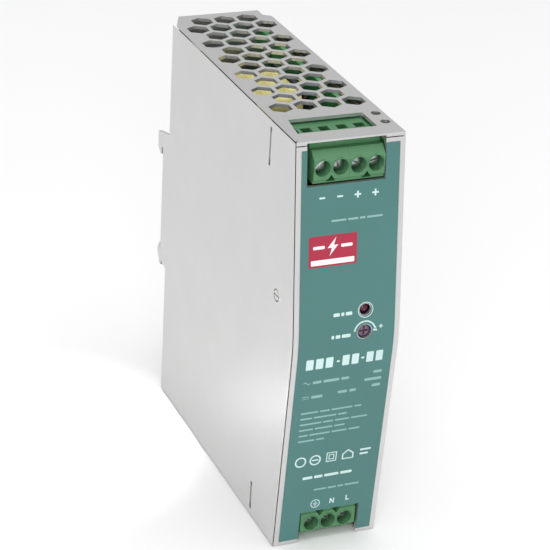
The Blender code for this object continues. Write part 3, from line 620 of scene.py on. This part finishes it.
def make_label():
    holes = [
        circle((INDICATOR_X, LED_Z), LED_WINDOW, 56),
        circle((INDICATOR_X, TRIMMER_Z), TRIMMER_WINDOW, 56),
    ]
    film = bend_to_front(plate([label_outline(), *holes], LABEL_NEAR, LABEL_FAR))
    make_piece("label_film", film, LABEL, "case", ["front_label"], smooth=30)

    polarity = []
    for x in OUTPUT_POLES[:2]:
        polarity.append(bar(x - 0.85, 44.4, 1.7, 0.5))
    for x in OUTPUT_POLES[2:]:
        polarity.append(plus(x, 44.4, 1.9, 0.5))
    printed("print_polarity", polarity, INK)

    mains = earth_mark(INPUT_POLES[0] + 0.3, -51.8)
    x = INPUT_POLES[1] + 0.3
    mains.append([(x - 0.7, -52.6), (x - 0.36, -52.6), (x - 0.36, -51.5), (x + 0.36, -52.6),
                  (x + 0.7, -52.6), (x + 0.7, -50.8), (x + 0.36, -50.8), (x + 0.36, -51.9),
                  (x - 0.36, -50.8), (x - 0.7, -50.8)])
    x = INPUT_POLES[2] - 0.1
    mains.append([(x - 0.5, -52.4), (x + 0.6, -52.4), (x + 0.6, -52.05), (x - 0.14, -52.05),
                  (x - 0.14, -50.6), (x - 0.5, -50.6)])
    printed("print_mains", mains, INK)

    legend = bars(-4.2, 10.6, (1.9, 0.9, 1.9), 1.0, 0.45)
    legend += bars(-4.6, 4.1, (0.8, 1.4, 2.6), 1.0, 0.45)
    legend.append(plus(10.2, 5.6, 1.1, 0.32))
    printed("print_legends", legend, INK)

    dial = [
        arc_band((INDICATOR_X, TRIMMER_Z), 3.15, 0.42, 8, 172),
        [(INDICATOR_X + 3.75, TRIMMER_Z - 0.15), (INDICATOR_X + 2.35, TRIMMER_Z + 0.1),
         (INDICATOR_X + 3.2, TRIMMER_Z + 1.25)],
        *ring(INDICATOR_X, LED_Z, 2.3, 2.1, 56),
    ]
    printed("print_dial", dial, INK)

    title = bars(-11.6, -3.6, (2.2, 2.2, 2.2), 3.3, 0.75)
    title += bars(-2.4, -3.6, (0.9,), 0.6)
    title += bars(-0.7, -3.6, (2.1, 2.1), 3.3, 0.75)
    title += bars(5.0, -3.6, (0.9,), 0.6)
    title += bars(6.6, -3.6, (2.1, 2.1), 3.3, 0.75)
    printed("print_title", title, INK)

    ratings = wave_mark(-11.8, -9.6, 2.0, 0.7, 0.26)
    ratings += bars(-9.0, -9.6, (2.6, 4.8, 2.4), 0.85, 0.6)
    ratings += bars(9.3, -8.9, (2.6,), 0.85)
    ratings += bars(6.8, -11.2, (5.2,), 0.85)
    ratings += direct_mark(-11.8, -14.4, 2.0)
    ratings += bars(-9.0, -14.4, (3.4,), 0.85)
    ratings += bars(-1.0, -14.0, (2.8, 2.0), 0.85, 0.7)
    ratings += bars(9.3, -13.4, (2.6,), 0.85)
    printed("print_ratings", ratings, FAINT_INK)

    notes = []
    rows = ((5.2, 3.0, 6.4, 2.2), (3.6, 6.8, 2.6), (6.6, 3.0, 4.4, 5.0), (4.2, 5.4, 3.2),
            (2.8, 6.2, 4.6, 3.4), (5.0, 2.4))
    for k, row in enumerate(rows):
        notes += bars(-11.6, -19.6 - 1.9 * k, row, 0.5, 0.55)
    printed("print_notes", notes, FAINT_INK)

    symbols = ring(-10.1, -36.3, 1.75, 1.3)
    symbols += ring(-5.6, -36.3, 1.75, 1.3)
    symbols.append(bar(-6.6, -36.3, 2.0, 0.45))
    square = 1.6
    for half in (square, square - 0.3, square - 0.75, square - 1.0):
        symbols.append([(-0.6 - half, -36.0 - half), (-0.6 + half, -36.0 - half),
                        (-0.6 + half, -36.0 + half), (-0.6 - half, -36.0 + half)])
    symbols.append([(2.7, -37.6), (6.3, -37.6), (6.3, -35.7), (4.5, -34.3), (2.7, -35.7)])
    symbols.append([(3.1, -37.25), (5.9, -37.25), (5.9, -35.9), (4.5, -34.8), (3.1, -35.9)])
    symbols += bars(8.2, -35.2, (3.4,), 0.6)
    symbols += bars(8.2, -36.6, (2.6,), 0.6)
    printed("print_symbols", symbols, INK)

    lines = bars(-8.9, -42.2, (3.0, 2.6, 4.4, 3.6), 0.9, 0.55)
    printed("print_lines", lines, INK)
    thin = bars(-5.4, 37.7, (4.4, 3.0, 1.6, 4.6), 0.55, 0.5)
    thin += bars(-5.0, -46.8, (3.8, 2.6, 1.8, 4.4), 0.55, 0.5)
    printed("print_thin_lines", thin, FAINT_INK)


BADGE_X = (-11.9, 2.3)
BADGE_Z = (25.0, 33.8)


def make_badge():
    """A plain crimson badge with a bolt between two leads, over a pale strip."""
    field = [rounded_rectangle((BADGE_X[0], BADGE_Z[0]), (BADGE_X[1], BADGE_Z[1]), 0.35)]
    printed("badge_field", field, BADGE_INK)
    middle = (BADGE_X[0] + BADGE_X[1]) / 2
    z = BADGE_Z[0] + 5.55
    bolt = [(0.9, 2.6), (-1.5, -0.35), (-0.25, -0.35), (-0.9, -2.6), (1.5, 0.4), (0.25, 0.4)]
    marks = [
        [(middle + 1.05 * x, z + y) for x, y in bolt],
        rounded_rectangle((BADGE_X[0] + 1.3, z - 0.45), (middle - 2.4, z + 0.45), 0.3),
        rounded_rectangle((middle + 2.4, z - 0.45), (BADGE_X[1] - 1.3, z + 0.45), 0.3),
        rounded_rectangle((BADGE_X[0] + 0.7, BADGE_Z[0] + 0.55),
                          (BADGE_X[1] - 0.7, BADGE_Z[0] + 2.05), 0.2),
    ]
    shape = bend_to_front(plate(marks, BADGE_NEAR, PRINT_NEAR - LAYER_GAP))
    make_piece("badge_marks", shape, BADGE_WHITE, "case", smooth=30)


# ---------------------------------------------------------------- terminal blocks

class Block:
    """One terminal block: where it is and which way its wires enter."""

    def __init__(self, front, base, side, height):
        self.front = front
        self.base = base
        self.side = side
        self.height = height

    def y(self, span):
        return tuple(self.front + d for d in span)

    def z(self, span):
        return tuple(sorted(self.base + self.side * h for h in span))

    def screw_z(self):
        return self.base + self.side * SCREW_HEIGHT


OUTPUT = Block(OUTPUT_FRONT, OUTPUT_BASE, 1, OUTPUT_HEIGHT)
INPUT = Block(INPUT_FRONT, INPUT_BASE, -1, INPUT_HEIGHT)


# Depths behind the block's front
HEAD_SEAT = 3.8
CAVITY = (6.2, 17.3)
MOUTH = (10.9, 13.7)
THROAT = (12.4, 15.4)
BAR_SLOT = (11.6, 12.7)
LEG_SLOT = (11.8, 19.6)
NOTCH_DEPTH = 3.0

# Half-widths and radii
SHANK_HOLE = 1.7
CAVITY_HALF = 2.3
MOUTH_HALF = 1.5
THROAT_HALF = 1.4
LEG_HALF = 0.9
NOTCH_HALF = 1.45
OVERCUT = 0.5  # how far one cutter runs into the next


def make_housing(name, block, poles, end_wall, cad):
    """A moulded housing with screw holes, notches between poles and funnel wire entries."""
    front, base, side = block.front, block.base, block.side
    outline = [
        (front + 0.45, base), (front + 0.45, base + side * 0.7), (front, base + side * 1.1),
        (front, base + side * 6.5), (front + 2.4, base + side * SHELF_HEIGHT),
        (front + SHELF_DEPTH, base + side * SHELF_HEIGHT),
        (front + SHELF_DEPTH, base + side * block.height),
        (front + BLOCK_DEPTH, base + side * block.height), (front + BLOCK_DEPTH, base),
    ]
    reach = POLE_PITCH / 2 + end_wall
    body = prism("X", outline, poles[0] - reach, poles[-1] + reach)
    z = block.screw_z()
    cuts = []
    for x in poles:
        cuts.append(rod("Y", (x, z), HEAD_HOLE, front - 1, front + HEAD_SEAT))
        shank = block.y((HEAD_SEAT - OVERCUT, CAVITY[0] + OVERCUT))
        cuts.append(rod("Y", (x, z), SHANK_HOLE, *shank, 32))
        cuts.append(box(around(x, CAVITY_HALF), block.y(CAVITY), block.z((1.7, 6.9))))
        mouth = rectangle(around(x, MOUTH_HALF), block.y(MOUTH))
        throat = rectangle(around(x, THROAT_HALF), block.y(THROAT))
        cuts.append(loft([(*p, base + side * (block.height + 0.3)) for p in mouth],
                         [(*p, base + side * 6.6) for p in throat]))
        cuts.append(box(around(x, THROAT_HALF), block.y(BAR_SLOT), block.z((0.8, 7.6))))
        cuts.append(box(around(x, LEG_HALF), block.y(LEG_SLOT), block.z((0.8, 2.0))))
    for left, right in zip(poles, poles[1:]):
        x = (left + right) / 2
        notch = [(x - NOTCH_HALF, base + side * 0.3), (x + NOTCH_HALF, base + side * 0.3),
                 (x, base + side * 2.3)]
        cuts.append(prism("Y", notch, front - 1, front + NOTCH_DEPTH))
    body = carve(body, *cuts)
    return make_piece(name, body, TERMINAL, "case", [cad], bevel=0.11)


RIM_RADII = (HEAD_HOLE, 2.55)
RIM_HEIGHT = 0.22


def make_rims(name, block, poles):
    """The raised rims round the screw holes."""
    rims = []
    for x in poles:
        centre = (x, block.screw_z())
        profile = (
            (block.front + 0.7, RIM_RADII[1]), (block.front - RIM_HEIGHT * 0.6, RIM_RADII[1]),
            (block.front - RIM_HEIGHT, RIM_RADII[1] - 0.1),
            (block.front - RIM_HEIGHT, RIM_RADII[0] + 0.1),
            (block.front - RIM_HEIGHT * 0.6, RIM_RADII[0] + 0.01),
            (block.front + 0.7, RIM_RADII[0] + 0.01),
        )
        rims.append(closed_ring(centre, profile))
    make_piece(name, joined(*rims), TERMINAL, "case")


def closed_ring(centre, profile, sides=48):
    """A ring across Y whose section is the closed (height, radius) profile."""
    shape = bmesh.new()
    rings = [
        [shape.verts.new((p[0], height, p[1])) for p in circle(centre, radius, sides)]
        for height, radius in profile
    ]
    for k in range(len(rings)):
        near, far = rings[k], rings[(k + 1) % len(rings)]
        for i in range(sides):
            j = (i + 1) % sides
            shape.faces.new((near[i], near[j], far[j], far[i]))
    bmesh.ops.recalc_face_normals(shape, faces=shape.faces)
    return shape


# Depths of the screw behind the block's front
HEAD_FACE = 2.3
HEAD_BACK = 3.6
THREAD = (4.6, 11.4)
SCREW_TIP = 11.6
THREAD_PITCH = 0.5
HEAD_RADIUS = 1.8
CORE_RADIUS = 1.2
CREST_RADIUS = 1.34


def make_terminal_screw(number, block, x, slot_angle):
    """A slotted cheese-head screw with a rolled thread on its shank."""
    front = block.front
    centre = (x, block.screw_z())
    face = front + HEAD_FACE
    back = front + HEAD_BACK
    profile = [(face, 0.02), (face, 1.5), (face + 0.09, 1.7), (face + 0.28, HEAD_RADIUS),
               (back, HEAD_RADIUS), (back, CORE_RADIUS), (front + THREAD[0], CORE_RADIUS)]
    for k in range(int((THREAD[1] - THREAD[0]) / THREAD_PITCH)):
        start = front + THREAD[0] + k * THREAD_PITCH
        profile += [(start + 0.12, CORE_RADIUS), (start + 0.25, CREST_RADIUS),
                    (start + 0.4, CORE_RADIUS)]
    tip = front + SCREW_TIP
    profile += [(tip - 0.15, CORE_RADIUS), (tip, 1.0), (tip, 0.02)]
    shape = turned("Y", centre, profile, 40)
    slot = box((-3.0, 3.0), (front, face + 0.7), (-0.3, 0.3))
    turn = Matrix.Translation((x, 0, centre[1])) @ Matrix.Rotation(math.radians(slot_angle), 4, "Y")
    bmesh.ops.transform(slot, matrix=turn, verts=slot.verts)
    shape = carve(shape, slot)
    make_piece(f"screw_{number}_detail", shape, SCREW, f"screw_{number}",
               [f"terminal_screw_{number}"], smooth=35)


def make_terminals():
    make_housing("output_housing_left", OUTPUT, OUTPUT_POLES[:2], -0.03, "output_terminals_left")
    make_housing("output_housing_right", OUTPUT, OUTPUT_POLES[2:], -0.03, "output_terminals_right")
    make_housing("input_housing", INPUT, INPUT_POLES, 0.75, "input_terminals")
    make_rims("output_rims_left", OUTPUT, OUTPUT_POLES[:2])
    make_rims("output_rims_right", OUTPUT, OUTPUT_POLES[2:])
    make_rims("input_rims", INPUT, INPUT_POLES)
    angles = (-40, 75, 25, -15, 35, 20, 15)  # of the screws' slots, in degrees
    places = [(OUTPUT, x) for x in OUTPUT_POLES] + [(INPUT, x) for x in INPUT_POLES]
    for number, ((block, x), angle) in enumerate(zip(places, angles), start=1):
        make_terminal_screw(number, block, x, angle)
        dress(f"wire_clamp_{number}", ZINC, 0.15)
        dress(f"contact_bar_{number}", TINNED, 0.1)


# ---------------------------------------------------------------- indicator and trimmer

def make_indicator():
    """A 3 mm lens with a domed tip, in a square holder on the board."""
    tip = front_y(LED_Z) + 0.45
    profile = [(-98.9, 0.02), (-98.9, 1.9), (-99.6, 1.9), (-99.6, 1.5)]
    dome = 1.5
    for k in range(9):
        angle = math.pi / 2 * k / 8
        profile.append((tip + dome - dome * math.sin(angle), max(0.02, dome * math.cos(angle))))
    lens = turned("Y", (INDICATOR_X, LED_Z), profile, 40)
    make_piece("led_lens_dome", lens, LENS, "case", ["status_led"])
    holder = carve(
        box((3.6, 10.7), (-98.7, -95.8), (LED_Z - 2.0, LED_Z + 2.0)),
        box((3.2, 5.0), (-97.6, -96.9), (LED_Z - 2.2, LED_Z + 2.2)),
    )
    make_piece("led_holder", holder, BLACK, "case", bevel=0.15)


def make_trimmer():
    """The trimmer's rotor, a shallow cup with a cross for a screwdriver."""
    centre = (INDICATOR_X, TRIMMER_Z)
    profile = [(-106.6, 0.02), (-106.6, 1.45), (-106.52, 1.65), (-106.3, 1.75), (-103.9, 1.75),
               (-103.9, 0.02)]
    rotor = turned("Y", centre, profile, 48)
    arm, half_width = 1.35, 0.28
    depth = (-108.0, -105.75)
    rotor = carve(
        rotor,
        box(around(INDICATOR_X, arm), depth, around(TRIMMER_Z, half_width)),
        box(around(INDICATOR_X, half_width), depth, around(TRIMMER_Z, arm)),
    )
    make_piece("rotor_detail", rotor, ROTOR, "trimmer", ["trimmer_rotor"], bevel=0.05)
    dress("trimmer_body", TRIMMER, 0.2)


# ---------------------------------------------------------------- the latch's spring

SPRING_PLACE = (0.8, 1.8)  # (x, y)
SPRING_Z = (-36.75, -25.35)
SPRING_COIL = 1.1
SPRING_WIRE = 0.2
SPRING_TURNS = 8


def make_spring():
    """The latch's compression spring, a coil of round wire."""
    steps, sides = 28, 12
    travel = SPRING_Z[1] - SPRING_Z[0] - 2 * SPRING_WIRE
    shape = bmesh.new()
    rings = []
    for i in range(SPRING_TURNS * steps + 1):
        part = i / (SPRING_TURNS * steps)
        angle = 2 * math.pi * SPRING_TURNS * part
        rise = part - 0.045 * math.sin(2 * math.pi * part)
        height = SPRING_Z[0] + SPRING_WIRE + travel * rise
        outward = Vector((math.cos(angle), math.sin(angle), 0.0))
        centre = Vector((*SPRING_PLACE, height)) + outward * SPRING_COIL
        rings.append([
            shape.verts.new(
                centre + SPRING_WIRE * (outward * math.cos(t) + Vector((0, 0, math.sin(t))))
            )
            for t in (2 * math.pi * k / sides for k in range(sides))
        ])
    for near, far in zip(rings, rings[1:]):
        for k in range(sides):
            j = (k + 1) % sides
            shape.faces.new((near[k], near[j], far[j], far[k]))
    shape.faces.new(rings[0])
    shape.faces.new(rings[-1])
    spring = make_piece("spring_coils", shape, SPRING_STEEL, "case", ["latch_spring"])
    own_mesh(spring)


# ---------------------------------------------------------------- the inside

def dress_inside():
    finishes = {
        "main_board": (BOARD, 0.1),
        "output_board": (BOARD, 0.1),
        "input_board": (BOARD, 0.1),
        "insulation_sheet": (INSULATION, 0.05),
        "transformer_core_left": (FERRITE, 0.3),
        "transformer_core_right": (FERRITE, 0.3),
        "transformer_bobbin": (BLACK, 0.2),
        "transformer_winding": (TAPE, 0.4),
        "bulk_capacitor": (BLACK, 0.2),
        "output_capacitor_upper": (SLEEVE, 0.2),
        "output_capacitor_lower": (SLEEVE, 0.2),
        "input_choke_core": (FERRITE, 0.3),
        "input_choke_winding_upper": (COPPER, 0.3),
        "input_choke_winding_lower": (COPPER, 0.3),
        "primary_heatsink": (ALUMINIUM, 0.2),
        "secondary_heatsink": (ALUMINIUM, 0.2),
        "mosfet": (BLACK, 0.2),
        "output_rectifier": (BLACK, 0.2),
        "bridge_rectifier": (BLACK, 0.2),
        "x_capacitor": (TAPE, 0.4),
        "fuse": (CERAMIC, 0.2),
        "varistor": (EPOXY, 0.3),
        "control_ic": (BLACK, 0.1),
        "optocoupler": (WHITE_PLASTIC, 0.1),
    }
    for name, (material, bevel) in finishes.items():
        dress(name, material, bevel)


# ---------------------------------------------------------------- stage, light and camera

CAMERA_PLACE = Vector((-0.2196, -0.5580, 0.2666))
CAMERA_AZIMUTH = 23.625  # degrees from +Y towards +X
CAMERA_ELEVATION = -26.098
CAMERA_ROLL = 3.388
CAMERA_LENS = 134.93


def make_camera():
    azimuth, elevation, roll = (
        math.radians(a) for a in (CAMERA_AZIMUTH, CAMERA_ELEVATION, CAMERA_ROLL)
    )
    forward = Vector((
        math.sin(azimuth) * math.cos(elevation),
        math.cos(azimuth) * math.cos(elevation),
        math.sin(elevation),
    ))
    level = Vector((math.cos(azimuth), -math.sin(azimuth), 0.0))
    upright = level.cross(forward)
    right = level * math.cos(roll) + upright * math.sin(roll)
    up = right.cross(forward)
    turn = Matrix((right, up, -forward)).transposed()
    data = bpy.data.cameras.new("camera")
    data.lens = CAMERA_LENS
    data.sensor_width = 36.0
    data.clip_start = 0.01
    data.clip_end = 50.0
    camera = bpy.data.objects.new("camera", data)
    camera.matrix_world = Matrix.Translation(CAMERA_PLACE) @ turn.to_4x4()
    scene.collection.objects.link(camera)
    scene.camera = camera


def plain_colour(name, colour, roughness):
    made = bpy.data.materials.new(name)
    made.use_nodes = True
    shader = made.node_tree.nodes["Principled BSDF"]
    shader.inputs["Base Color"].default_value = (*colour, 1.0)
    shader.inputs["Roughness"].default_value = roughness
    return made


def make_floor():
    shape = bmesh.new()
    bmesh.ops.create_grid(shape, x_segments=1, y_segments=1, size=6.0)
    floor = object_from("floor", shape)
    floor.location.z = BOTTOM * MM - 0.0002
    floor.data.materials.append(plain_colour("pale_floor", (0.93, 0.93, 0.93), 0.9))


def area_light(name, place, target, size, power, beam=180):
    data = bpy.data.lights.new(name, "AREA")
    data.shape = "DISK"
    data.size = size
    data.energy = power
    data.spread = math.radians(beam)
    lamp = bpy.data.objects.new(name, data)
    lamp.location = place
    lamp.rotation_mode = "QUATERNION"
    lamp.rotation_quaternion = (Vector(target) - Vector(place)).to_track_quat("-Z", "Y")
    scene.collection.objects.link(lamp)


def make_lights():
    """A white studio: even light all round, two soft lamps and a small one on the floor."""
    world = bpy.data.worlds.new("studio")
    world.use_nodes = True
    background = world.node_tree.nodes["Background"]
    background.inputs["Color"].default_value = (1.0, 1.0, 1.0, 1.0)
    background.inputs["Strength"].default_value = 0.62
    scene.world = world
    centre = (0.0, -0.05, 0.0)
    area_light("overhead", (0.1, -0.2, 1.6), centre, 1.6, 13.0)
    area_light("front_left", (-0.55, -1.1, 0.45), centre, 0.7, 6.0)
    beside = (-0.062, -0.025, -0.065)  # the floor next to the left side, which reflects it
    area_light("left_floor", (-0.075, -0.025, 0.5), beside, 0.04, 0.035, beam=9)
    scene.view_settings.view_transform = "Standard"


dress_case()
make_label()
make_badge()
make_terminals()
make_indicator()
make_trimmer()
make_spring()
dress_inside()
make_camera()
make_floor()
make_lights()
